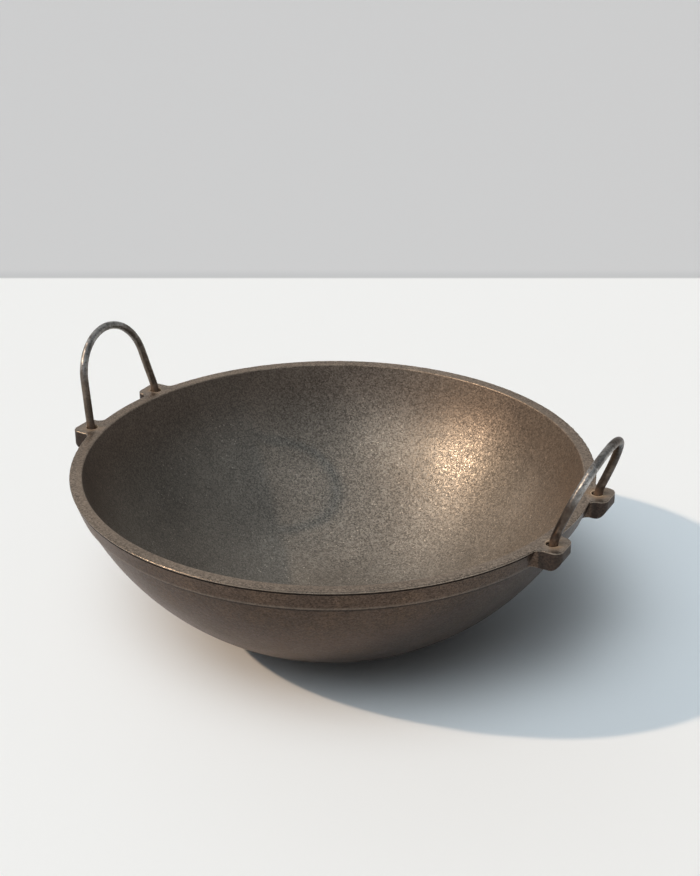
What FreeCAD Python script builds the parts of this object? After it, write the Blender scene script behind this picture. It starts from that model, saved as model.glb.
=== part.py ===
"""A cast-iron kadai: one round-bellied casting with four drilled lugs, and two loose wire handles.

The bowl stands on its flat base at z = 0. Its handles lie along X, and the handle on +X is the one
that leans out further. Each handle rocks in its two lug holes about a line along Y, and is drawn
leaning on its outward stop.
"""

import FreeCAD, Part
import math
import os

import Sketcher
from FreeCAD import Placement, Rotation, Vector

# Driving dimensions: lengths in millimetres, angles in degrees.
SIZES = [
    # Bowl, outside
    ("rim_diameter", 254.0),
    ("bowl_height", 86.0),
    ("base_diameter", 75.4),
    ("band_height", 10.5),
    ("band_taper", 3.6),
    ("step_depth", 0.8),
    # Bowl, inside
    ("wall", 5.3),
    ("floor_wall", 5.0),
    ("floor_blend", 70.0),
    # Parting line under the flat lip
    ("lip_height", 0.8),
    ("parting_height", 0.9),
    ("parting_depth", 0.7),
    ("parting_stop", 6.0),
    # Rounded edges of the casting
    ("brim_round", 0.8),
    ("lip_round", 0.4),
    # Lugs and their holes
    ("hole_spacing", 55.0),
    ("hole_inset", 1.4),
    ("hole_diameter", 5.7),
    ("lug_width", 16.0),
    ("lug_reach", 5.6),
    ("lug_corner", 4.0),
    ("lug_nose", 3.8),
    ("lug_root", 3.0),
    ("band_show", 1.5),
    # Handle wire, alike on both sides
    ("wire_diameter", 4.0),
    ("foot_angle", 7.5),
    ("foot_rise", 1.0),
    ("foot_bend", 16.0),
    ("loop_bend", 12.0),
    # Upset heads under the lugs
    ("head_diameter", 7.2),
    ("head_slope", 0.6),
    ("head_rim", 1.0),
    ("head_crown", 1.4),
    ("head_gap", 0.32),
    # Each loop is bent by hand, so each has its own shape
    ("left_lean_angle", 12.0),
    ("left_splay_angle", -9.2),
    ("left_rise", 41.9),
    ("right_lean_angle", 20.0),
    ("right_splay_angle", 10.0),
    ("right_rise", 36.5),
    # How far a cut runs past what it cuts
    ("overrun", 2.0),
]

# Formulas over the sheet's cells
RIM = "(Sizes.rim_diameter / 2)"
BAND_FOOT = f"({RIM} - Sizes.band_taper)"
BELLY_TOP = f"({BAND_FOOT} - Sizes.step_depth)"
BELLY_RISE = "(Sizes.bowl_height - Sizes.band_height)"
BASE = "(Sizes.base_diameter / 2)"
BELLY_CENTRE = f"(({BELLY_TOP}^2 + {BELLY_RISE}^2 - {BASE}^2) / (2 * {BELLY_RISE}))"
INSIDE = f"(sqrt({BASE}^2 + {BELLY_CENTRE}^2) - Sizes.wall)"
LUG_DEPTH = "(Sizes.band_height - Sizes.band_show)"
LUG_TIP = f"({RIM} + Sizes.lug_reach)"
LUG_HEEL = f"({RIM} - Sizes.lug_width)"
HALF_SPACING = "(Sizes.hole_spacing / 2)"
HOLE_REACH = f"({RIM} - Sizes.hole_inset)"
LUG_LOW = f"({HALF_SPACING} - Sizes.lug_width / 2)"
LUG_HIGH = f"({HALF_SPACING} + Sizes.lug_width / 2)"
LUG_FLANK = f"({LUG_TIP} - Sizes.lug_corner - sqrt({RIM}^2 - {LUG_LOW}^2))"
WIRE = "(Sizes.wire_diameter / 2)"
HALF_LEG = f"({LUG_DEPTH} / 2 / cos(Sizes.foot_angle * 1 deg))"
LEG_TOP = f"({HALF_LEG} + Sizes.foot_rise)"
HEAD_TOP = f"({HALF_LEG} + {WIRE} * tan(Sizes.foot_angle * 1 deg) + Sizes.head_gap)"

# Sketcher's own numbers for the origin, the two axes and the points of a line or an arc
ORIGIN = (-1, 1)
ACROSS, UPRIGHT = -1, -2
START, END, CENTRE = 1, 2, 3

doc = FreeCAD.newDocument("kadai")
sheet = doc.addObject("Spreadsheet::Sheet", "Sizes")
for row, (alias, number) in enumerate(SIZES, start=1):
    sheet.set(f"A{row}", alias)
    sheet.set(f"B{row}", str(number))
    sheet.setAlias(f"B{row}", alias)
doc.recompute()


def value(formula):
    """The number that a formula over the sheet comes to."""
    return float(sheet.evalExpression(formula))


def origin_plane(body, role):
    return next(item for item in body.Origin.OriginFeatures if item.Role == role)


def new_sketch(body, name, role):
    """An empty sketch on one of the body's own origin planes."""
    sketch = body.newObject("Sketcher::SketchObject", name)
    sketch.AttachmentSupport = [(origin_plane(body, role), "")]
    sketch.MapMode = "FlatFace"
    return sketch


def line(sketch, first, last):
    return sketch.addGeometry(Part.LineSegment(Vector(*first), Vector(*last)))


def arc(sketch, centre, first, last):
    """An arc that runs anticlockwise from the first point to the last."""
    rays = [Vector(*point) - Vector(*centre) for point in (first, last)]
    circle = Part.Circle(Vector(*centre), Vector(0, 0, 1), rays[0].Length)
    return sketch.addGeometry(Part.ArcOfCircle(circle, *(math.atan2(ray.y, ray.x) for ray in rays)))


def relate(sketch, kind, *references):
    sketch.addConstraint(Sketcher.Constraint(kind, *references))


def join(sketch, *corners):
    """Close an outline, corner by corner."""
    for corner in corners:
        relate(sketch, "Coincident", *corner)


def measure(sketch, name, kind, references, formula):
    """A named dimension that follows the sheet."""
    start = math.radians(value(formula)) if kind == "Angle" else value(formula)
    index = sketch.addConstraint(Sketcher.Constraint(kind, *references, start))
    sketch.renameConstraint(index, name)
    sketch.setExpression(f"Constraints.{name}", formula)


def turn(body, kind, name, sketch):
    """A full turn of a profile about its own upright axis, added or cut."""
    feature = body.newObject(f"PartDesign::{kind}", name)
    feature.Profile = sketch
    feature.ReferenceAxis = (sketch, ["V_Axis"])
    feature.Angle = 360
    return feature


def outer_form(body):
    """The outside of the casting: flat base, round belly, stepped band and flat rim."""
    sketch = new_sketch(body, "outer_profile", "XZ_Plane")
    base = (value(BASE), 0)
    belly_top = (value(BELLY_TOP), value(BELLY_RISE))
    band_foot = (value(BAND_FOOT), value(BELLY_RISE))
    rim = (value(RIM), value("Sizes.bowl_height"))
    crown = (0, value("Sizes.bowl_height"))
    bottom = line(sketch, (0, 0), base)
    belly = arc(sketch, (0, value(BELLY_CENTRE)), base, belly_top)
    step = line(sketch, belly_top, band_foot)
    band = line(sketch, band_foot, rim)
    top = line(sketch, rim, crown)
    axis = line(sketch, crown, (0, 0))
    join(
        sketch,
        (bottom, START, *ORIGIN),
        (bottom, END, belly, START),
        (belly, END, step, START),
        (step, END, band, START),
        (band, END, top, START),
        (top, END, axis, START),
        (axis, END, bottom, START),
    )
    for level in (bottom, step, top):
        relate(sketch, "Horizontal", level)
    relate(sketch, "Vertical", axis)
    relate(sketch, "PointOnObject", belly, CENTRE, UPRIGHT)
    measure(sketch, "base", "DistanceX", (bottom, START, bottom, END), BASE)
    measure(sketch, "rim", "DistanceX", (*ORIGIN, band, END), RIM)
    measure(sketch, "height", "DistanceY", (*ORIGIN, band, END), "Sizes.bowl_height")
    measure(sketch, "band", "DistanceY", (band, START, band, END), "Sizes.band_height")
    measure(sketch, "taper", "DistanceX", (band, START, band, END), "Sizes.band_taper")
    measure(sketch, "step", "DistanceX", (step, START, step, END), "Sizes.step_depth")
    return turn(body, "Revolution", "outer_form", sketch)


def lug(body):
    """One lug: a tongue with rounded corners, flush with the rim and rooted inside the band."""
    sketch = new_sketch(body, "lug_plan", "XY_Plane")
    sketch.setExpression("AttachmentOffset.Base.z", "Sizes.bowl_height")
    corner = value("Sizes.lug_corner")
    tip = value(LUG_TIP)
    heel = value(LUG_HEEL)
    low = value(LUG_LOW)
    high = value(LUG_HIGH)
    bend = tip - corner
    near = line(sketch, (heel, low), (bend, low))
    near_corner = arc(sketch, (bend, low + corner), (bend, low), (tip, low + corner))
    end = line(sketch, (tip, low + corner), (tip, high - corner))
    far_corner = arc(sketch, (bend, high - corner), (tip, high - corner), (bend, high))
    far = line(sketch, (bend, high), (heel, high))
    back = line(sketch, (heel, high), (heel, low))
    relate(sketch, "Tangent", near, END, near_corner, START)
    relate(sketch, "Tangent", near_corner, END, end, START)
    relate(sketch, "Tangent", end, END, far_corner, START)
    relate(sketch, "Tangent", far_corner, END, far, START)
    join(sketch, (far, END, back, START), (back, END, near, START))
    relate(sketch, "Horizontal", near)
    relate(sketch, "Horizontal", far)
    relate(sketch, "Vertical", end)
    relate(sketch, "Vertical", back)
    relate(sketch, "Equal", near_corner, far_corner)
    measure(sketch, "corner", "Radius", (near_corner,), "Sizes.lug_corner")
    measure(sketch, "width", "DistanceY", (back, END, back, START), "Sizes.lug_width")
    measure(sketch, "tip", "DistanceX", (*ORIGIN, end, START), LUG_TIP)
    measure(sketch, "heel", "DistanceX", (*ORIGIN, back, END), LUG_HEEL)
    measure(sketch, "place", "DistanceY", (*ORIGIN, near, START), LUG_LOW)
    pad = body.newObject("PartDesign::Pad", "lug")
    pad.Profile = sketch
    pad.Reversed = True
    pad.setExpression("Length", LUG_DEPTH)
    return pad


def lug_nose(body):
    """Round the lug's underside, from a short upright tip back to its full depth."""
    sketch = new_sketch(body, "nose_profile", "XZ_Plane")
    past = value("Sizes.overrun")
    tip = value(LUG_TIP)
    upper = value("Sizes.bowl_height - Sizes.lug_nose")
    lower = value(f"Sizes.bowl_height - {LUG_DEPTH}")
    inner = tip - (upper - lower)
    curve = arc(sketch, (inner, upper), (inner, lower), (tip, upper))
    ledge = line(sketch, (tip, upper), (tip + past, upper))
    outside = line(sketch, (tip + past, upper), (tip + past, lower - past))
    below = line(sketch, (tip + past, lower - past), (inner, lower - past))
    inside = line(sketch, (inner, lower - past), (inner, lower))
    join(
        sketch,
        (curve, END, ledge, START),
        (ledge, END, outside, START),
        (outside, END, below, START),
        (below, END, inside, START),
        (inside, END, curve, START),
    )
    relate(sketch, "Horizontal", ledge)
    relate(sketch, "Vertical", outside)
    relate(sketch, "Horizontal", below)
    relate(sketch, "Vertical", inside)
    relate(sketch, "Vertical", curve, CENTRE, curve, START)
    relate(sketch, "Horizontal", curve, CENTRE, curve, END)
    upper_height = "Sizes.bowl_height - Sizes.lug_nose"
    measure(sketch, "tip", "DistanceX", (*ORIGIN, curve, END), LUG_TIP)
    measure(sketch, "upper", "DistanceY", (*ORIGIN, curve, END), upper_height)
    measure(sketch, "round", "Radius", (curve,), f"{LUG_DEPTH} - Sizes.lug_nose")
    measure(sketch, "past", "DistanceX", (ledge, START, ledge, END), "Sizes.overrun")
    measure(sketch, "under", "DistanceY", (inside, START, inside, END), "Sizes.overrun")
    pocket = body.newObject("PartDesign::Pocket", "lug_nose")
    pocket.Profile = sketch
    pocket.Type = "ThroughAll"
    pocket.Midplane = True
    return pocket


def lug_hole(body):
    """An upright hole through the lug, wide enough for the wire to rock in it."""
    sketch = new_sketch(body, "hole_plan", "XY_Plane")
    sketch.setExpression("AttachmentOffset.Base.z", "Sizes.bowl_height")
    middle = Vector(value(HOLE_REACH), value(HALF_SPACING))
    ring = Part.Circle(middle, Vector(0, 0, 1), value("Sizes.hole_diameter / 2"))
    hole = sketch.addGeometry(ring)
    measure(sketch, "reach", "DistanceX", (*ORIGIN, hole, CENTRE), HOLE_REACH)
    measure(sketch, "across", "DistanceY", (*ORIGIN, hole, CENTRE), HALF_SPACING)
    measure(sketch, "radius", "Radius", (hole,), "Sizes.hole_diameter / 2")
    pocket = body.newObject("PartDesign::Pocket", "lug_hole")
    pocket.Profile = sketch
    pocket.Type = "ThroughAll"
    return pocket


def mirror(body, name, role, originals):
    feature = body.newObject("PartDesign::Mirrored", name)
    feature.Originals = originals
    feature.MirrorPlane = (origin_plane(body, role), [""])
    return feature


def four_lugs(body, originals):
    """Repeat the lug with its nose and hole in all four places."""
    lugs = body.newObject("PartDesign::MultiTransform", "lugs")
    lugs.Originals = originals
    lugs.Transformations = [
        mirror(body, "front_and_back", "XZ_Plane", []),
        mirror(body, "left_and_right", "YZ_Plane", []),
    ]
    body.Tip = lugs
    return lugs


def cavity(body):
    """Hollow the casting to an even wall, with a small flat floor that blends into it."""
    sketch = new_sketch(body, "cavity_profile", "XZ_Plane")
    centre = value(BELLY_CENTRE)
    inside = value(INSIDE)
    floor = value("Sizes.floor_wall")
    blend = value("Sizes.floor_blend")
    mouth = value("Sizes.bowl_height + Sizes.overrun")
    drop = centre - floor - blend
    flat = math.sqrt((inside - blend) ** 2 - drop**2)
    stretch = inside / (inside - blend)
    meeting = (flat * stretch, centre - drop * stretch)
    brim = (math.sqrt(inside**2 - (mouth - centre) ** 2), mouth)
    level = line(sketch, (0, floor), (flat, floor))
    hollow = arc(sketch, (flat, floor + blend), (flat, floor), meeting)
    side = arc(sketch, (0, centre), meeting, brim)
    lid = line(sketch, brim, (0, mouth))
    axis = line(sketch, (0, mouth), (0, floor))
    relate(sketch, "Tangent", level, END, hollow, START)
    relate(sketch, "Tangent", hollow, END, side, START)
    join(sketch, (side, END, lid, START), (lid, END, axis, START), (axis, END, level, START))
    relate(sketch, "Horizontal", level)
    relate(sketch, "Horizontal", lid)
    relate(sketch, "PointOnObject", axis, START, UPRIGHT)
    relate(sketch, "PointOnObject", axis, END, UPRIGHT)
    relate(sketch, "PointOnObject", side, CENTRE, UPRIGHT)
    mouth_height = "Sizes.bowl_height + Sizes.overrun"
    measure(sketch, "centre", "DistanceY", (*ORIGIN, side, CENTRE), BELLY_CENTRE)
    measure(sketch, "inside", "Radius", (side,), INSIDE)
    measure(sketch, "floor", "DistanceY", (*ORIGIN, axis, END), "Sizes.floor_wall")
    measure(sketch, "blend", "Radius", (hollow,), "Sizes.floor_blend")
    measure(sketch, "mouth", "DistanceY", (*ORIGIN, axis, START), mouth_height)
    return turn(body, "Groove", "cavity", sketch)


def parting_line(body):
    """A shallow groove under the lip that stops short of the lugs, and the same at the back."""
    sketch = new_sketch(body, "parting_profile", "YZ_Plane")
    bed = value(f"Sizes.parting_depth - {RIM}")
    outer = value(f"-{RIM} - Sizes.overrun")
    top = value("Sizes.bowl_height - Sizes.lip_height")
    low = top - value("Sizes.parting_height")
    roof = line(sketch, (outer, top), (bed, top))
    back = line(sketch, (bed, top), (bed, low))
    sill = line(sketch, (bed, low), (outer, low))
    front = line(sketch, (outer, low), (outer, top))
    join(
        sketch,
        (roof, END, back, START),
        (back, END, sill, START),
        (sill, END, front, START),
        (front, END, roof, START),
    )
    for level in (roof, sill):
        relate(sketch, "Horizontal", level)
    for upright in (back, front):
        relate(sketch, "Vertical", upright)
    top_height = "Sizes.bowl_height - Sizes.lip_height"
    measure(sketch, "bed", "DistanceX", (back, START, *ORIGIN), f"{RIM} - Sizes.parting_depth")
    measure(sketch, "outer", "DistanceX", (roof, START, *ORIGIN), f"{RIM} + Sizes.overrun")
    measure(sketch, "top", "DistanceY", (*ORIGIN, roof, END), top_height)
    measure(sketch, "tall", "DistanceY", (back, END, back, START), "Sizes.parting_height")
    groove = turn(body, "Groove", "parting_line", sketch)
    groove.Midplane = True
    groove.setExpression("Angle", f"180 deg - 2 * asin(({LUG_HIGH} + Sizes.parting_stop) / {RIM})")
    body.Tip = mirror(body, "parting_lines", "XZ_Plane", [groove])


def soften(body, name, base, chosen, radius):
    """Round the edges of a feature that a test picks out."""
    doc.recompute()
    edges = enumerate(base.Shape.Edges, start=1)
    names = [f"Edge{number}" for number, edge in edges if chosen(base.Shape, edge)]
    fillet = body.newObject("PartDesign::Fillet", name)
    fillet.Base = (base, names)
    fillet.setExpression("Radius", radius)
    return fillet


def surfaces_at(shape, edge):
    return [face.Surface for face in shape.ancestorsOfType(edge, Part.Face)]


def at_root(shape, edge):
    """An inside corner where a lug's flank meets the band."""
    surfaces = surfaces_at(shape, edge)
    on_band = any(isinstance(surface, Part.Cone) for surface in surfaces)
    planes = [surface for surface in surfaces if isinstance(surface, Part.Plane)]
    return on_band and any(abs(plane.Axis.y) > abs(plane.Axis.z) for plane in planes)


def on_rim(edge):
    return edge.BoundBox.ZMin > value("Sizes.bowl_height - Sizes.lip_height")


def at_brim(shape, edge):
    """The edge between the flat rim and the hollow."""
    in_hollow = any(isinstance(surface, Part.Sphere) for surface in surfaces_at(shape, edge))
    return on_rim(edge) and in_hollow


def at_lip(shape, edge):
    """The outer edge of the flat rim, round the lugs too but not in their holes."""
    full_ring = len(edge.Vertexes) == 1
    return on_rim(edge) and not full_ring and not at_brim(shape, edge)


def make_bowl():
    body = doc.addObject("PartDesign::Body", "bowl")
    outer_form(body)
    lugs = four_lugs(body, [lug(body), lug_nose(body), lug_hole(body)])
    soften(body, "lug_roots", lugs, at_root, f"min(Sizes.lug_root; {LUG_FLANK})")
    brim = soften(body, "brim", cavity(body), at_brim, "Sizes.brim_round")
    soften(body, "lip", brim, at_lip, "Sizes.lip_round")
    parting_line(body)
    return body


def foot_path(body, bend_angle):
    """The straight leg through the lug and the bend above it, in the plane of one leg."""
    sketch = new_sketch(body, "foot_path", "XZ_Plane")
    sketch.setExpression("AttachmentOffset.Base.z", f"-{HALF_SPACING}")
    low = f"{HEAD_TOP} + Sizes.head_slope"
    rise = f"Sizes.foot_bend * sin({bend_angle} * 1 deg)"
    bend = value("Sizes.foot_bend")
    top = value(LEG_TOP)
    ease = bend * (1 - math.cos(math.radians(value(bend_angle))))
    leg = line(sketch, (0, -value(low)), (0, top))
    curve = arc(sketch, (bend, top), (ease, top + value(rise)), (0, top))
    relate(sketch, "PointOnObject", leg, START, UPRIGHT)
    relate(sketch, "PointOnObject", leg, END, UPRIGHT)
    relate(sketch, "Tangent", leg, END, curve, END)
    measure(sketch, "low", "DistanceY", (leg, START, *ORIGIN), low)
    measure(sketch, "top", "DistanceY", (*ORIGIN, leg, END), LEG_TOP)
    measure(sketch, "bend", "Radius", (curve,), "Sizes.foot_bend")
    measure(sketch, "rise", "DistanceY", (curve, END, curve, START), rise)
    return sketch


def loop_path(body, name, bend_angle):
    """Half of the loop, seen square on: a bend, a splayed leg and half of the round crown."""
    sketch = new_sketch(body, "loop_path", "YZ_Plane")
    sketch.AttachmentOffset = Placement(Vector(), Rotation(Vector(1, 0, 0), value(bend_angle)))
    ease = f"Sizes.foot_bend * (1 - cos({bend_angle} * 1 deg))"
    lift = f"{LEG_TOP} + Sizes.foot_bend * sin({bend_angle} * 1 deg)"
    sketch.setExpression("AttachmentOffset.Rotation.Angle", f"{bend_angle} * 1 deg")
    sketch.setExpression("AttachmentOffset.Base.y", lift)
    sketch.setExpression("AttachmentOffset.Base.z", ease)
    splay = math.radians(value(f"Sizes.{name}_splay_angle"))
    outward = math.copysign(1, splay)
    half = value(HALF_SPACING)
    bend = outward * value("Sizes.loop_bend")
    apex = Vector(0, value(f"Sizes.{name}_rise"))
    foot = Vector(half, 0)
    along = Vector(math.sin(splay), math.cos(splay))
    sideways = Vector(along.y, -along.x)
    knee = Vector(half + bend - bend * along.y, bend * along.x)
    crown = (knee - apex).dot(sideways) / (1 + along.x)
    middle = apex - Vector(0, crown)
    shoulder = middle + sideways * crown
    bend_ends = (knee, foot) if outward > 0 else (foot, knee)
    low, high = (END, START) if outward > 0 else (START, END)
    bent = arc(sketch, (half + bend, 0), *bend_ends)
    leg = line(sketch, knee, shoulder)
    top = arc(sketch, middle, shoulder, apex)
    relate(sketch, "PointOnObject", bent, low, ACROSS)
    relate(sketch, "PointOnObject", bent, CENTRE, ACROSS)
    relate(sketch, "Tangent", bent, high, leg, START)
    relate(sketch, "Tangent", leg, END, top, START)
    relate(sketch, "PointOnObject", top, CENTRE, UPRIGHT)
    relate(sketch, "PointOnObject", top, END, UPRIGHT)
    measure(sketch, "half", "DistanceX", (*ORIGIN, bent, low), HALF_SPACING)
    measure(sketch, "bend", "Radius", (bent,), "Sizes.loop_bend")
    measure(sketch, "splay", "Angle", (leg,), f"90 deg - Sizes.{name}_splay_angle * 1 deg")
    measure(sketch, "rise", "DistanceY", (*ORIGIN, top, END), f"Sizes.{name}_rise")
    return sketch


def wire_along(body, name, path, section):
    """The round wire along a path, from the section drawn at its start."""
    doc.recompute()
    pipe = body.newObject("PartDesign::AdditivePipe", name)
    pipe.Profile = section
    pipe.Spine = (path, [f"Edge{number + 1}" for number in range(len(path.Shape.Edges))])
    return pipe


def foot_section(body):
    """The wire's section at the bottom of one leg."""
    sketch = new_sketch(body, "foot_section", "XY_Plane")
    sketch.setExpression("AttachmentOffset.Base.z", f"-({HEAD_TOP} + Sizes.head_slope)")
    ring = Part.Circle(Vector(0, value(HALF_SPACING)), Vector(0, 0, 1), value(WIRE))
    circle = sketch.addGeometry(ring)
    relate(sketch, "PointOnObject", circle, CENTRE, UPRIGHT)
    measure(sketch, "half", "DistanceY", (*ORIGIN, circle, CENTRE), HALF_SPACING)
    measure(sketch, "wire", "Radius", (circle,), WIRE)
    return sketch


def crown_section(body, name, bend_angle):
    """The wire's section at the top of the loop."""
    sketch = new_sketch(body, "crown_section", "XZ_Plane")
    rise = f"Sizes.{name}_rise"
    reach = f"Sizes.foot_bend * (1 - cos({bend_angle} * 1 deg)) + {rise} * sin({bend_angle} * 1 deg)"
    height = f"{LEG_TOP} + Sizes.foot_bend * sin({bend_angle} * 1 deg) + {rise} * cos({bend_angle} * 1 deg)"
    ring = Part.Circle(Vector(value(reach), value(height)), Vector(0, 0, 1), value(WIRE))
    circle = sketch.addGeometry(ring)
    measure(sketch, "reach", "DistanceX", (*ORIGIN, circle, CENTRE), reach)
    measure(sketch, "height", "DistanceY", (*ORIGIN, circle, CENTRE), height)
    measure(sketch, "wire", "Radius", (circle,), WIRE)
    return sketch


def upset_head(body):
    """The upset end of the wire: a sloping shoulder, a short rim and a hammered crown."""
    sketch = new_sketch(body, "head_profile", "XZ_Plane")
    sketch.setExpression("AttachmentOffset.Base.z", f"-{HALF_SPACING}")
    radius = value("Sizes.head_diameter / 2")
    wire = value(WIRE)
    top = -value(HEAD_TOP)
    shoulder = top - value("Sizes.head_slope")
    rim = shoulder - value("Sizes.head_rim")
    crown = value("Sizes.head_crown")
    dome_radius = (radius**2 + crown**2) / (2 * crown)
    neck = line(sketch, (0, top), (wire, top))
    slope = line(sketch, (wire, top), (radius, shoulder))
    side = line(sketch, (radius, shoulder), (radius, rim))
    dome = arc(sketch, (0, rim - crown + dome_radius), (0, rim - crown), (radius, rim))
    axis = line(sketch, (0, rim - crown), (0, top))
    join(
        sketch,
        (neck, END, slope, START),
        (slope, END, side, START),
        (side, END, dome, END),
        (dome, START, axis, START),
        (axis, END, neck, START),
    )
    relate(sketch, "Horizontal", neck)
    relate(sketch, "Vertical", side)
    for point in (START, END):
        relate(sketch, "PointOnObject", axis, point, UPRIGHT)
    relate(sketch, "PointOnObject", dome, CENTRE, UPRIGHT)
    measure(sketch, "top", "DistanceY", (axis, END, *ORIGIN), HEAD_TOP)
    measure(sketch, "wire", "DistanceX", (neck, START, neck, END), WIRE)
    measure(sketch, "radius", "DistanceX", (axis, END, side, START), "Sizes.head_diameter / 2")
    measure(sketch, "slope", "DistanceY", (slope, END, slope, START), "Sizes.head_slope")
    measure(sketch, "rim", "DistanceY", (side, END, side, START), "Sizes.head_rim")
    measure(sketch, "crown", "DistanceY", (axis, START, side, END), "Sizes.head_crown")
    return turn(body, "Revolution", "upset_head", sketch)


def make_handle(name, heading):
    """One wire handle, drawn about its rocking line and then laid on its outward stop."""
    body = doc.addObject("PartDesign::Body", f"handle_{name}")
    bend_angle = f"(Sizes.{name}_lean_angle - Sizes.foot_angle)"
    foot = wire_along(body, "foot_wire", foot_path(body, bend_angle), foot_section(body))
    head = upset_head(body)
    section = crown_section(body, name, bend_angle)
    loop = wire_along(body, "loop_wire", loop_path(body, name, bend_angle), section)
    body.Tip = mirror(body, "both_halves", "XZ_Plane", [foot, head, loop])
    tilt = Rotation(Vector(0, 1, 0), value("Sizes.foot_angle"))
    lift = Vector(0, 0, value(f"Sizes.bowl_height - {LUG_DEPTH} / 2"))
    reach = Placement(Vector(value(HOLE_REACH), 0, 0), tilt)
    body.Placement = Placement(lift, Rotation(Vector(0, 0, 1), heading)) * reach
    return body


def check(bodies):
    """Stop before anything is written if a feature failed or a piece is not one sound solid."""
    for item in doc.Objects:
        if "Invalid" in item.State or "Error" in item.State:
            raise RuntimeError(f"{item.Label} failed: {item.State}")
        if item.isDerivedFrom("Sketcher::SketchObject") and not item.FullyConstrained:
            raise RuntimeError(f"{item.Label} is not fully constrained")
    for body in bodies:
        shape = body.Shape
        if shape.isNull() or not shape.isValid() or len(shape.Solids) != 1:
            raise RuntimeError(f"{body.Label} is not one valid solid")


pieces = [make_bowl(), make_handle("left", 180), make_handle("right", 0)]
doc.recompute()
check(pieces)
os.makedirs("parts", exist_ok=True)
for piece in pieces:
    piece.Shape.exportStep(f"parts/{piece.Label}.step")
    print(piece.Label, f"{piece.Shape.Volume:.0f} mm3", piece.Shape.optimalBoundingBox())
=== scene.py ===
import math

import bpy
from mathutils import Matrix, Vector

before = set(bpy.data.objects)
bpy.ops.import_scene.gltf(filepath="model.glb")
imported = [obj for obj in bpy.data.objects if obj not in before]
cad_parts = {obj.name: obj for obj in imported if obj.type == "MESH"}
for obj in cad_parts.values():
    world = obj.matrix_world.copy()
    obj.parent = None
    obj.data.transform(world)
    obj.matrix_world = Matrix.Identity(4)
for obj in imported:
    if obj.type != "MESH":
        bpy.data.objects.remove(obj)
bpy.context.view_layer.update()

scene = bpy.context.scene
scene.view_settings.view_transform = "Standard"

# The camera's level axes: to the right of the picture, and away from the camera
RIGHT = Vector((0.8734, 0.4871, 0))
AWAY = Vector((-0.4871, 0.8734, 0))
UP = Vector((0, 0, 1))


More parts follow.
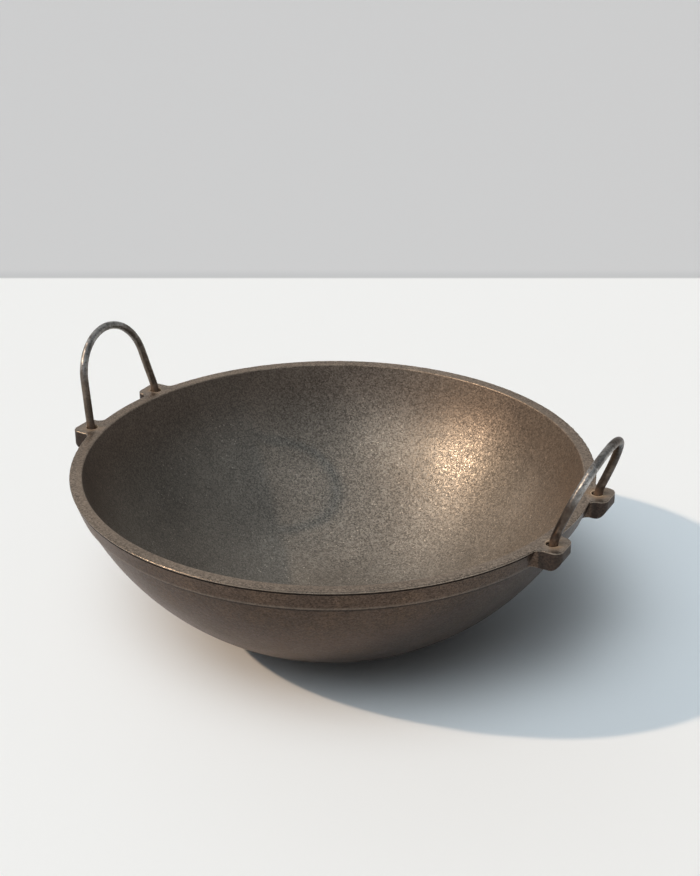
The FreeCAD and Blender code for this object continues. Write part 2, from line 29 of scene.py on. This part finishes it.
class Shade:
    """The nodes of a material or of the world, and short ways to add to them.

    A fade is a pair of numbers: the value where it begins, and the value where it is full.
    """

    def __init__(self, owner, shader="Principled BSDF", place="Object"):
        owner.use_nodes = True
        self.owner = owner
        self.nodes = owner.node_tree.nodes
        self.links = owner.node_tree.links
        self.shader = self.nodes[shader]
        self.place = self.nodes.new("ShaderNodeTexCoord").outputs[place]

    def put(self, socket, value):
        """Link a socket to another one, or set it to a value. None leaves it as it is."""
        if isinstance(value, bpy.types.NodeSocket):
            self.links.new(value, socket)
        elif value is not None:
            socket.default_value = value

    def show(self, name, value):
        self.put(self.shader.inputs[name], value)

    def maths(self, operation, first, second=None, third=None, clamp=False):
        node = self.nodes.new("ShaderNodeMath")
        node.operation = operation
        node.use_clamp = clamp
        for socket, value in zip(node.inputs, (first, second, third)):
            self.put(socket, value)
        return node.outputs["Value"]

    def both(self, first, *others):
        """The product: 1 where every mask is 1."""
        for other in others:
            first = self.maths("MULTIPLY", first, other)
        return first

    def either(self, first, second):
        return self.maths("MAXIMUM", first, second)

    def flip(self, value):
        return self.maths("SUBTRACT", 1, value)

    def centred(self, value):
        return self.maths("SUBTRACT", value, 0.5)

    def vector(self, operation, first, second=None):
        node = self.nodes.new("ShaderNodeVectorMath")
        node.operation = operation
        self.put(node.inputs[0], first)
        self.put(node.inputs[1], second)
        return node.outputs["Value" if operation in ("LENGTH", "DOT_PRODUCT", "DISTANCE") else "Vector"]

    def along(self, axis):
        return self.vector("DOT_PRODUCT", self.place, tuple(axis))

    def distance(self, point):
        return self.vector("DISTANCE", self.place, point)

    def split(self, vector):
        node = self.nodes.new("ShaderNodeSeparateXYZ")
        self.put(node.inputs[0], vector)
        return node.outputs

    def join(self, *values):
        node = self.nodes.new("ShaderNodeCombineXYZ")
        for socket, value in zip(node.inputs, values):
            self.put(socket, value)
        return node.outputs[0]

    def step(self, value, fade):
        """0 where the fade begins, 1 where it is full, and smooth between them."""
        node = self.nodes.new("ShaderNodeMapRange")
        node.interpolation_type = "SMOOTHSTEP"
        for socket, number in zip(node.inputs, (value, *fade)):
            self.put(socket, number)
        return node.outputs["Result"]

    def zone(self, value, rise, fall):
        return self.both(self.step(value, rise), self.step(value, fall))

    def noise(self, scale, detail, roughness):
        node = self.nodes.new("ShaderNodeTexNoise")
        self.put(node.inputs["Vector"], self.place)
        node.inputs["Scale"].default_value = scale
        node.inputs["Detail"].default_value = detail
        node.inputs["Roughness"].default_value = roughness
        return node.outputs["Fac"]

    def cells(self, scale):
        """The distance from the middle of each cell, and a colour of its own for each."""
        node = self.nodes.new("ShaderNodeTexVoronoi")
        self.put(node.inputs["Vector"], self.place)
        node.inputs["Scale"].default_value = scale
        return node.outputs["Distance"], node.outputs["Color"]

    def between(self, share, first, second):
        """A number: the first where the share is 0, the second where it is 1."""
        node = self.nodes.new("ShaderNodeMix")
        for socket, value in zip(node.inputs[:1] + node.inputs[2:4], (share, first, second)):
            self.put(socket, value)
        return node.outputs[0]

    def mix(self, share, first, second):
        """A colour: the first where the share is 0, the second where it is 1."""
        node = self.nodes.new("ShaderNodeMix")
        node.data_type = "RGBA"
        self.put(node.inputs[0], share)
        for socket, colour in zip(node.inputs[6:8], (first, second)):
            self.put(socket, colour if isinstance(colour, bpy.types.NodeSocket) else (*colour, 1))
        return node.outputs[2]

    def times(self, colour, value):
        node = self.nodes.new("ShaderNodeMix")
        node.data_type = "RGBA"
        node.blend_type = "MULTIPLY"
        node.inputs[0].default_value = 1
        self.put(node.inputs[6], colour)
        self.put(node.inputs[7], value)
        return node.outputs[2]

    def bump(self, height, distance, strength, after=None):
        node = self.nodes.new("ShaderNodeBump")
        node.inputs["Distance"].default_value = distance
        node.inputs["Strength"].default_value = strength
        self.put(node.inputs["Height"], height)
        self.put(node.inputs["Normal"], after)
        return node.outputs["Normal"]

    def edges(self, radius):
        """Above 0 near a sharp edge, about 0.3 on a square one, and 0 on smooth faces."""
        bevel = self.nodes.new("ShaderNodeBevel")
        bevel.samples = 6
        bevel.inputs["Radius"].default_value = radius
        flat = self.nodes.new("ShaderNodeNewGeometry").outputs["Normal"]
        return self.maths("SUBTRACT", 1, self.vector("DOT_PRODUCT", bevel.outputs[0], flat), clamp=True)


class CastIron(Shade):
    """The bowl: dull outside, oiled and rubbed inside, worn at its edges and rusty at its holes, with
    painted highlights, sunlight, glints and shade in places.

    Heights, radii and distances are in metres.
    """

    GLOSS_LEVEL = 0.5
    GLOSS_TINT = (0.97, 0.91, 0.88, 1)

    def __init__(self):
        super().__init__(bpy.data.materials.new("cast_iron"))
        self.find_places()
        self.make_grain()
        self.find_wear_and_painted_light()
        walls = self.mix(self.inside, self.dull(), self.oiled())
        rim = self.mix(self.clouds, *self.RIM)
        self.show("Base Color", self.aged_with_painted_light(self.grained_with_painted_glints(self.mix(self.on_top, walls, rim))))
        self.show("Roughness", self.roughness())
        self.show("Metallic", self.metal())
        self.show("Specular IOR Level", self.GLOSS_LEVEL)
        self.show("Specular Tint", self.GLOSS_TINT)
        self.show("Normal", self.relief())

    # Parts of the casting
    BELLY_CENTRE = (0, 0, 0.1279)
    HOLLOW_RADIUS = (0.1311, 0.1299)
    LOW_HEIGHT = (0.078, 0.045)
    TOP_HEIGHT = (0.0853, 0.0857)
    LUG_RADIUS = (0.1272, 0.1282)
    HOLE_X = 0.1256
    HOLE_Y = 0.0275

    def find_places(self):
        x, y, self.z = self.split(self.place)
        self.across = self.along(RIGHT)
        self.from_axis = self.vector("LENGTH", self.join(x, y, 0))
        self.inside = self.step(self.distance(self.BELLY_CENTRE), self.HOLLOW_RADIUS)
        self.outside = self.flip(self.inside)
        self.low = self.step(self.z, self.LOW_HEIGHT)
        self.on_top = self.step(self.z, self.TOP_HEIGHT)
        self.on_lug = self.both(self.step(self.from_axis, self.LUG_RADIUS), self.flip(self.on_top))
        hole_x = self.maths("SUBTRACT", self.maths("ABSOLUTE", x), self.HOLE_X)
        hole_y = self.maths("SUBTRACT", self.maths("ABSOLUTE", y), self.HOLE_Y)
        self.from_hole = self.vector("LENGTH", self.join(hole_x, hole_y, 0))

    # Grain: for noise, the features in a metre, detail and roughness; for cells, how many in a metre
    CLOUDS = (16, 6, 0.62)
    CLOUD_FADE = (0.32, 0.68)
    PATCHES = (55, 5, 0.6)
    GRIT = (420, 3, 0.6)
    GRAIN = (1050, 2.5, 0.6)
    FACETS = 1500
    FLECKS = 4200
    GLINTS = 900

    # A painted glint fills the middle of its cell, in a few cells, low on the inside and in some patches
    GLINT_CHANCE = (0.9, 0.95)
    GLINT_REACH = (0.45, 0.25)
    GLINT_HEIGHT = (0.084, 0.06)
    GLINT_PATCHES = (0.42, 0.58)

    def make_grain(self):
        self.clouds = self.step(self.noise(*self.CLOUDS), self.CLOUD_FADE)
        self.patches = self.noise(*self.PATCHES)
        self.grit = self.noise(*self.GRIT)
        self.grain = self.noise(*self.GRAIN)
        _, self.facets = self.cells(self.FACETS)
        pale, shiny, _ = self.split(self.facets)
        self.pale = self.centred(pale)
        self.shiny = self.centred(shiny)
        _, flecks = self.cells(self.FLECKS)
        fleck, _, _ = self.split(flecks)
        self.fleck = self.both(self.centred(fleck), self.inside)
        reach, kinds = self.cells(self.GLINTS)
        chance, _, _ = self.split(kinds)
        painted_glint = self.both(self.step(chance, self.GLINT_CHANCE), self.step(reach, self.GLINT_REACH))
        painted_glint = self.both(painted_glint, self.step(self.z, self.GLINT_HEIGHT), self.inside)
        self.painted_glint = self.both(painted_glint, self.step(self.patches, self.GLINT_PATCHES))

    # Wear and painted light: bright worn edges, and painted highlights along the lip and the foot of the
    # band; rust at the holes; painted shade in two creases
    EDGE_RADIUS = 0.0012
    EDGE_FADE = (0.02, 0.2)
    LIP_HEIGHT = (0.0852, 0.0855)
    LIP_RADIUS = (0.1263, 0.1267)
    FOOT_RISE = (0.0754, 0.0756)
    FOOT_FALL = (0.0772, 0.0761)
    FOOT_SHARE = 0.45
    WEAR_AND_HIGHLIGHT_GRIT = (0.3, 0.6)
    WEAR_AND_HIGHLIGHT_GRIT_SHARES = (0.4, 0.9)
    BORE_RADIUS = (0.0034, 0.0030)
    RUST_RADIUS = (0.0080, 0.0032)
    RUST_HEIGHT = (0.0850, 0.0856)
    RUST_PATCHES = (0.36, 0.62)
    GROOVE_RISE = (0.0841, 0.0844)
    GROOVE_FALL = (0.0853, 0.0851)
    GROOVE_RADIUS = (0.12665, 0.12645)
    UNDER_BAND_RISE = (0.0732, 0.0748)
    UNDER_BAND_FALL = (0.0756, 0.0755)

    def find_wear_and_painted_light(self):
        on_edge = self.step(self.edges(self.EDGE_RADIUS), self.EDGE_FADE)
        # The lines along the foot of the band and along the lip are painted highlights; the bright edges
        # are wear
        on_foot = self.zone(self.z, self.FOOT_RISE, self.FOOT_FALL)
        on_foot = self.both(on_foot, self.outside, self.FOOT_SHARE)
        on_lip = self.step(self.z, self.LIP_HEIGHT)
        on_lip = self.both(on_lip, self.step(self.from_axis, self.LIP_RADIUS))
        gritty = self.between(self.step(self.grit, self.WEAR_AND_HIGHLIGHT_GRIT), *self.WEAR_AND_HIGHLIGHT_GRIT_SHARES)
        self.wear_and_highlight = self.both(self.either(self.either(on_edge, on_foot), on_lip), gritty)

        near_hole = self.step(self.from_hole, self.RUST_RADIUS)
        near_hole = self.both(near_hole, self.step(self.z, self.RUST_HEIGHT))
        near_hole = self.both(near_hole, self.step(self.patches, self.RUST_PATCHES))
        self.in_hole = self.step(self.from_hole, self.BORE_RADIUS)
        self.rust = self.either(near_hole, self.in_hole)

        # Painted shade: the groove under the lip and the crease under the band are painted near black
        in_groove = self.zone(self.z, self.GROOVE_RISE, self.GROOVE_FALL)
        in_groove = self.both(in_groove, self.step(self.from_axis, self.GROOVE_RADIUS))
        under_band = self.zone(self.z, self.UNDER_BAND_RISE, self.UNDER_BAND_FALL)
        self.crease_shade = self.both(self.either(in_groove, under_band), self.outside)

    # Colours of the outside and of the rim's top; a pair of colours runs from dark clouds to pale ones
    DULL = ((0.053, 0.037, 0.028), (0.080, 0.056, 0.042))
    BROWN = (0.116, 0.077, 0.051)
    BROWN_PATCHES = (0.5, 0.7)
    BROWN_SHARE = 0.35
    BAND_HEIGHT = (0.0752, 0.0760)
    BAND_PAINTED_LIGHT = (0.95, 1.2)
    LUG = (0.036, 0.024, 0.018)
    RIM = ((0.290, 0.232, 0.181), (0.372, 0.298, 0.232))

    def dull(self):
        colour = self.mix(self.clouds, *self.DULL)
        brown = self.both(self.step(self.patches, self.BROWN_PATCHES), self.BROWN_SHARE)
        colour = self.mix(brown, colour, self.BROWN)
        # Painted light: the band is painted lighter than the belly below it, for the light it catches
        colour = self.times(colour, self.between(self.step(self.z, self.BAND_HEIGHT), *self.BAND_PAINTED_LIGHT))
        return self.mix(self.on_lug, colour, self.LUG)

    # Colours of the inside: darker up the wall, browner and lighter to the right as painted sunlight,
    # with a painted tint of the highlight's colour and soft darker and lighter spots, some of them
    # painted shade and painted highlight
    UPPER = ((0.160, 0.125, 0.100), (0.200, 0.159, 0.127))
    UPPER_SUNLIT_BROWN = (0.260, 0.200, 0.150)
    UPPER_SUNLIT_ACROSS = (0.094, 0.116)
    UPPER_SUNLIT_SHARE = 0.6
    LOWER = ((0.270, 0.234, 0.196), (0.335, 0.291, 0.243))
    BOTTOM_HEIGHT = (0.022, 0.008)
    BOTTOM_LIGHT = (1, 1.18)
    HIGHLIGHT_TINT_ACROSS = (0.04, 0.085)
    HIGHLIGHT_TINTS = ((1, 1.015, 1.015), (1, 0.985, 0.95))

    # Soft spots: the first two are darker spots on the left of the inside, the third is painted shade on
    # the right flank of the highlight, and the last two are painted highlight that widens it below and to
    # its left. For each, its place, how far it reaches, and how much it darkens; below 0 it lightens
    STAINS_AND_PAINTED_LIGHT = (
        ((-0.0660, 0.0840, 0.0560), 0.038, 0.28),
        ((-0.0985, -0.0165, 0.0480), 0.042, 0.32),
        ((0.0520, 0.0910, 0.0530), 0.030, 0.22),
        ((0.0220, 0.0720, 0.0240), 0.031, -0.24),
        ((-0.0220, 0.1000, 0.0500), 0.024, -0.20),
    )
    STAIN_AND_LIGHT_CORE = 0.2

    def oiled(self):
        upper = self.mix(self.clouds, *self.UPPER)
        # Painted sunlight: the sunlit right side of the upper wall is painted browner and lighter
        brown = self.both(self.step(self.across, self.UPPER_SUNLIT_ACROSS), self.UPPER_SUNLIT_SHARE)
        upper = self.mix(brown, upper, self.UPPER_SUNLIT_BROWN)
        lower = self.mix(self.clouds, *self.LOWER)
        lower = self.times(lower, self.between(self.step(self.z, self.BOTTOM_HEIGHT), *self.BOTTOM_LIGHT))
        # Painted highlight colour: a tint, whiter to the left and browner to the right, across the
        # highlight
        highlight_tint = self.mix(self.step(self.across, self.HIGHLIGHT_TINT_ACROSS), *self.HIGHLIGHT_TINTS)
        colour = self.times(self.mix(self.low, upper, lower), highlight_tint)
        for place, reach, depth in self.STAINS_AND_PAINTED_LIGHT:
            stain_and_painted_light = self.step(self.distance(place), (reach, self.STAIN_AND_LIGHT_CORE * reach))
            colour = self.times(colour, self.flip(self.both(stain_and_painted_light, depth)))
        return colour

    # Pale and dark grains, stronger outside and in a sandy area inside, with painted glints and pits
    SANDY_CENTRE = (-0.030, 0.088, 0.042)
    SANDY_RADIUS = (0.10, 0.03)
    GRAIN_OUTSIDE = 0.9
    GRAIN_INSIDE = (0.58, 1.02)
    PAINTED_GLINT_LIGHT = 1.1
    PIT = (0.026, 0.022, 0.019)
    PIT_GRAIN = (0.45, 0.3)
    PIT_SHARES = (0.5, 0.16)

    def grained_with_painted_glints(self, colour):
        sandy = self.step(self.distance(self.SANDY_CENTRE), self.SANDY_RADIUS)
        strength = self.between(self.inside, self.GRAIN_OUTSIDE, self.between(sandy, *self.GRAIN_INSIDE))
        lift = self.maths("ADD", self.both(self.pale, strength), self.both(self.painted_glint, self.PAINTED_GLINT_LIGHT))
        colour = self.times(colour, self.maths("ADD", lift, 1))
        pitted = self.step(self.grain, self.PIT_GRAIN)
        pitted = self.both(pitted, self.between(self.inside, *self.PIT_SHARES))
        return self.mix(pitted, colour, self.PIT)

    # Over the colour: bare metal on worn edges and painted highlights, rust around the holes with a
    # lighter rust painted in them against their shade, and painted shade in the creases
    WEAR_AND_HIGHLIGHT = (0.28, 0.24, 0.20)
    WEAR_AND_HIGHLIGHT_SHARES = (0.7, 0.2)
    RUST = ((0.23, 0.135, 0.062), (0.62, 0.42, 0.25))
    RUST_SHARE = 0.75
    CREASE_SHADE = (0.012, 0.010, 0.009)
    CREASE_SHADE_SHARE = 0.9

    def aged_with_painted_light(self, colour):
        wear_and_highlight = self.both(self.wear_and_highlight, self.between(self.on_lug, *self.WEAR_AND_HIGHLIGHT_SHARES))
        colour = self.mix(wear_and_highlight, colour, self.WEAR_AND_HIGHLIGHT)
        # In the bores the rust is painted lighter, against the shade in them
        rust = self.mix(self.in_hole, *self.RUST)
        colour = self.mix(self.both(self.rust, self.RUST_SHARE), colour, rust)
        return self.mix(self.both(self.crease_shade, self.CREASE_SHADE_SHARE), colour, self.CREASE_SHADE)

    # Roughness: each grain shines in its own way. A pair is for the two places in its name.
    ROUGH_OUTSIDE_LUG = (0.38, 0.55)
    ROUGH_UPPER_LOWER = (0.525, 0.58)
    SHINY_OUTSIDE_INSIDE = (0.1, 0.16)
    FLECK_UPPER_LOWER = (0.26, 0.5)
    PATCH_ROUGHNESS = 0.2
    WEAR_AND_HIGHLIGHT_GLOSS_ELSEWHERE_LUG = (0.1, 0)
    RUST_ROUGHNESS = 0.2

    def roughness(self):
        outside = self.between(self.on_lug, *self.ROUGH_OUTSIDE_LUG)
        inside = self.between(self.low, *self.ROUGH_UPPER_LOWER)
        rough = self.between(self.inside, outside, inside)
        shiny = self.both(self.shiny, self.between(self.inside, *self.SHINY_OUTSIDE_INSIDE))
        rough = self.maths("ADD", rough, shiny)
        fleck = self.both(self.fleck, self.between(self.low, *self.FLECK_UPPER_LOWER))
        rough = self.maths("ADD", rough, fleck)
        rough = self.maths("ADD", rough, self.both(self.centred(self.patches), self.PATCH_ROUGHNESS))
        wear_and_highlight = self.both(self.wear_and_highlight, self.between(self.on_lug, *self.WEAR_AND_HIGHLIGHT_GLOSS_ELSEWHERE_LUG))
        rough = self.maths("SUBTRACT", rough, wear_and_highlight)
        return self.maths("ADD", rough, self.both(self.rust, self.RUST_ROUGHNESS), clamp=True)

    # How metallic it is
    METAL_OUTSIDE_LUG = (0.95, 0.5)
    METAL_INSIDE = 0.9
    METAL_RUST = 0.05

    def metal(self):
        metal = self.between(self.on_lug, *self.METAL_OUTSIDE_LUG)
        metal = self.between(self.inside, metal, self.METAL_INSIDE)
        return self.between(self.rust, metal, self.METAL_RUST)

    # Relief: tilted grains over grit over the slow unevenness of a casting; inside, the shading leans
    UNEVEN = (38, 4, 0.5)
    UNEVEN_BUMP = (0.0006, 0.4)
    GRIT_BUMP = (0.0003, 0.4)
    FACET_TILT = 0.10
    LEAN = RIGHT * 0.024 + UP * 0.045

    def relief(self):
        relief = self.bump(self.noise(*self.UNEVEN), *self.UNEVEN_BUMP)
        relief = self.bump(self.grit, *self.GRIT_BUMP, relief)
        tilt = self.vector("SUBTRACT", self.facets, (0.5, 0.5, 0.5))
        tilt = self.vector("MULTIPLY", tilt, (self.FACET_TILT, self.FACET_TILT, self.FACET_TILT))
        lean = self.vector("MULTIPLY", tuple(self.LEAN), self.join(self.inside, self.inside, self.inside))
        tilt = self.vector("ADD", tilt, lean)
        return self.vector("NORMALIZE", self.vector("ADD", relief, tilt))


class SteelWire(Shade):
    """The handles: dark hammered wire, the left one paler, rubbed bright in places that carry painted
    highlights, rusty at the feet.
    """

    def __init__(self):
        super().__init__(bpy.data.materials.new("wire"))
        self.patches = self.noise(*self.PATCHES)
        self.grain = self.noise(*self.GRAIN)
        self.find_places()
        self.show("Base Color", self.colour())
        self.show("Roughness", self.roughness())
        self.show("Metallic", self.between(self.rust, *self.METAL_RUST))
        self.show("Normal", self.relief())

    # Noise: the features in a metre, detail and roughness
    PATCHES = (140, 4, 0.6)
    GRAIN = (900, 2, 0.6)

    # Places, in metres: the feet, and the rubbed places with painted highlights, on the upper part of the
    # left loop and on the near shoulder of the right one
    LEFT_X = (0.01, -0.01)
    FOOT_HEIGHT = (0.092, 0.086)
    FOOT_PATCHES = (0.35, 0.6)
    LEFT_HEIGHT = (0.106, 0.119)
    LEFT_FAR_Y = (0.008, 0.022)
    LEFT_FAR_SHARES = (1, 0.4)
    RIGHT_RISE = (0.104, 0.112)
    RIGHT_FALL = (0.133, 0.121)
    RIGHT_NEAR_Y = (0.004, -0.006)

    def find_places(self):
        x, y, z = self.split(self.place)
        self.left = self.step(x, self.LEFT_X)
        self.rust = self.both(self.step(z, self.FOOT_HEIGHT), self.step(self.patches, self.FOOT_PATCHES))
        far = self.between(self.step(y, self.LEFT_FAR_Y), *self.LEFT_FAR_SHARES)
        on_left = self.both(self.step(z, self.LEFT_HEIGHT), self.left, far)
        near = self.step(y, self.RIGHT_NEAR_Y)
        on_right = self.both(self.zone(z, self.RIGHT_RISE, self.RIGHT_FALL), near, self.flip(self.left))
        self.rubbed_and_highlit = self.either(on_left, on_right)

    # Colours; the pairs of dark and pale ones are for the right handle and for the left one
    DARK = ((0.070, 0.052, 0.041), (0.135, 0.104, 0.081))
    PALE = ((0.125, 0.098, 0.078), (0.200, 0.160, 0.128))
    PALE_PATCHES = (0.4, 0.65)
    BRIGHT = ((0.19, 0.178, 0.165), (0.50, 0.486, 0.465))
    BRIGHT_PATCHES = (0.35, 0.6)
    SPECK = (0.06, 0.046, 0.037)
    SPECK_GRAIN = (0.5, 0.35)
    SPECK_SHARE = 0.5
    RUST = (0.15, 0.078, 0.036)
    RUST_SHARE = 0.8

    def colour(self):
        dark = self.mix(self.left, *self.DARK)
        pale = self.mix(self.left, *self.PALE)
        dark = self.mix(self.step(self.patches, self.PALE_PATCHES), dark, pale)
        bright = self.mix(self.step(self.patches, self.BRIGHT_PATCHES), *self.BRIGHT)
        # Painted highlight: the rubbed places are painted bright where the highlights fall
        colour = self.mix(self.rubbed_and_highlit, dark, bright)
        specks = self.both(self.step(self.grain, self.SPECK_GRAIN), self.SPECK_SHARE)
        colour = self.mix(specks, colour, self.SPECK)
        return self.mix(self.both(self.rust, self.RUST_SHARE), colour, self.RUST)

    # Roughness, and how metallic the bare wire and the rust are
    ROUGH_PLAIN_RUBBED_HIGHLIT = (0.46, 0.44)
    SMOOTH = 0.36
    SMOOTH_PATCHES = (0.35, 0.7)
    RUST_ROUGHNESS = 0.3
    METAL_RUST = (0.9, 0.2)

    def roughness(self):
        rough = self.between(self.rubbed_and_highlit, *self.ROUGH_PLAIN_RUBBED_HIGHLIT)
        rough = self.between(self.step(self.patches, self.SMOOTH_PATCHES), rough, self.SMOOTH)
        return self.maths("ADD", rough, self.both(self.rust, self.RUST_ROUGHNESS))

    # Relief: grain over hammer marks over a slow unevenness
    UNEVEN = (190, 2, 0.5)
    UNEVEN_BUMP = (0.0005, 0.5)
    HAMMER_MARKS = 330
    HAMMER_BUMP = (0.0008, 0.35)
    GRAIN_BUMP = (0.00012, 0.6)

    def relief(self):
        hammered, _ = self.cells(self.HAMMER_MARKS)
        relief = self.bump(self.noise(*self.UNEVEN), *self.UNEVEN_BUMP)
        relief = self.bump(hammered, *self.HAMMER_BUMP, relief)
        return self.bump(self.grain, *self.GRAIN_BUMP, relief)


iron = CastIron().owner
steel = SteelWire().owner
for name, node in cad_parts.items():
    node.data.materials.clear()
    node.data.materials.append(iron if name == "bowl" else steel)


# The floor, in metres away from the kadai's middle
FLOOR_SIZE = 12
GREY_DEPTH = (0.5195, 0.5225)
SEAM_RISE = (0.5175, 0.5205)
SEAM_FALL = (0.545, 0.5215)
SEAM_SHARE = 0.5
FLOOR_PALE = (0.900, 0.876, 0.834)
FLOOR_GREY = (0.632, 0.616, 0.598)
FLOOR_SEAM = (0.5, 0.49, 0.48)
FLOOR_ROUGHNESS = 0.95
FLOOR_GLOSS = 0.1


def floor():
    """A pale floor that turns grey behind the kadai, along the foot of the studio's back wall."""
    bpy.ops.mesh.primitive_plane_add(size=FLOOR_SIZE)
    plane = bpy.context.object
    plane.name = "floor"
    shade = Shade(bpy.data.materials.new("floor"))
    depth = shade.along(AWAY)
    paint = shade.mix(shade.step(depth, GREY_DEPTH), FLOOR_PALE, FLOOR_GREY)
    seam = shade.zone(depth, SEAM_RISE, SEAM_FALL)
    shade.show("Base Color", shade.mix(shade.both(seam, SEAM_SHARE), paint, FLOOR_SEAM))
    shade.show("Roughness", FLOOR_ROUGHNESS)
    shade.show("Specular IOR Level", FLOOR_GLOSS)
    plane.data.materials.append(shade.owner)


# The key lamp, and the way its light goes
KEY_STRENGTH = 1.71
KEY_WIDTH = math.radians(1.8)
KEY_COLOUR = (1, 0.79, 0.61)
KEY_COURSE = RIGHT * 1.22 + AWAY * 0.2045 - UP


def key_lamp():
    """One warm lamp from the left."""
    key = bpy.data.lights.new("key", "SUN")
    key.energy = KEY_STRENGTH
    key.angle = KEY_WIDTH
    key.color = KEY_COLOUR
    lamp = bpy.data.objects.new("key", key)
    scene.collection.objects.link(lamp)
    lamp.rotation_euler = KEY_COURSE.to_track_quat("-Z", "Y").to_euler()


# The sky: for each of its lights, where it is, how narrow it is, and how strong
SKY_COLOUR = (0.605, 0.70, 0.79, 1)
SKY_STRENGTH = 0.13
SKY_LIGHTS = (
    (UP * 0.866 - RIGHT * 0.25 - AWAY * 0.433, 20, 10.3),
    (UP * 0.259 - RIGHT * 0.483 + AWAY * 0.837, 6, 1.3),
)

# The walls and the ceiling: fades over how far up, or how far back, a line of sight points
LOW_WALLS = (0.3, 0.15)
BACK_WALL = (0.3, 0.65)
CEILING_STRENGTH = 0.13
WALL_STRENGTH = 0.62


def studio():
    """A cool soft light overhead and in front, a weak one low behind at the left, and pale walls."""
    room = Shade(bpy.data.worlds.new("room"), "Background", "Generated")
    scene.world = room.owner
    strength = SKY_STRENGTH
    for towards, narrowness, power in SKY_LIGHTS:
        light = room.maths("POWER", room.either(room.along(towards), 0), narrowness)
        strength = room.maths("MULTIPLY_ADD", light, power, strength)
    room.show("Color", SKY_COLOUR)
    room.show("Strength", strength)

    # What the camera and the gloss see: pale walls, highest behind the kadai, and a dim ceiling
    walls = room.either(room.step(room.along(UP), LOW_WALLS), room.step(room.along(AWAY), BACK_WALL))
    seen = room.nodes.new("ShaderNodeBackground")
    room.put(seen.inputs["Strength"], room.between(walls, CEILING_STRENGTH, WALL_STRENGTH))
    path = room.nodes.new("ShaderNodeLightPath").outputs
    plain = room.either(path["Is Camera Ray"], path["Is Glossy Ray"])
    plain = room.either(plain, path["Is Transmission Ray"])
    switch = room.nodes.new("ShaderNodeMixShader")
    for socket, value in zip(switch.inputs, (plain, room.shader.outputs[0], seen.outputs[0])):
        room.put(socket, value)
    room.put(room.nodes["World Output"].inputs["Surface"], switch.outputs[0])


# The camera that was fitted to the photograph: lens and sensor in millimetres, place in metres
LENS = 61.96
SENSOR = 36
EYE = (0.3292, -0.5735, 0.4054)
GAZE = Vector((-0.4414, 0.7915, -0.4226))


def camera():
    lens = bpy.data.cameras.new("camera")
    lens.lens = LENS
    lens.sensor_width = SENSOR
    eye = bpy.data.objects.new("camera", lens)
    scene.collection.objects.link(eye)
    eye.location = EYE
    eye.rotation_euler = GAZE.to_track_quat("-Z", "Y").to_euler()
    scene.camera = eye


floor()
key_lamp()
studio()
camera()
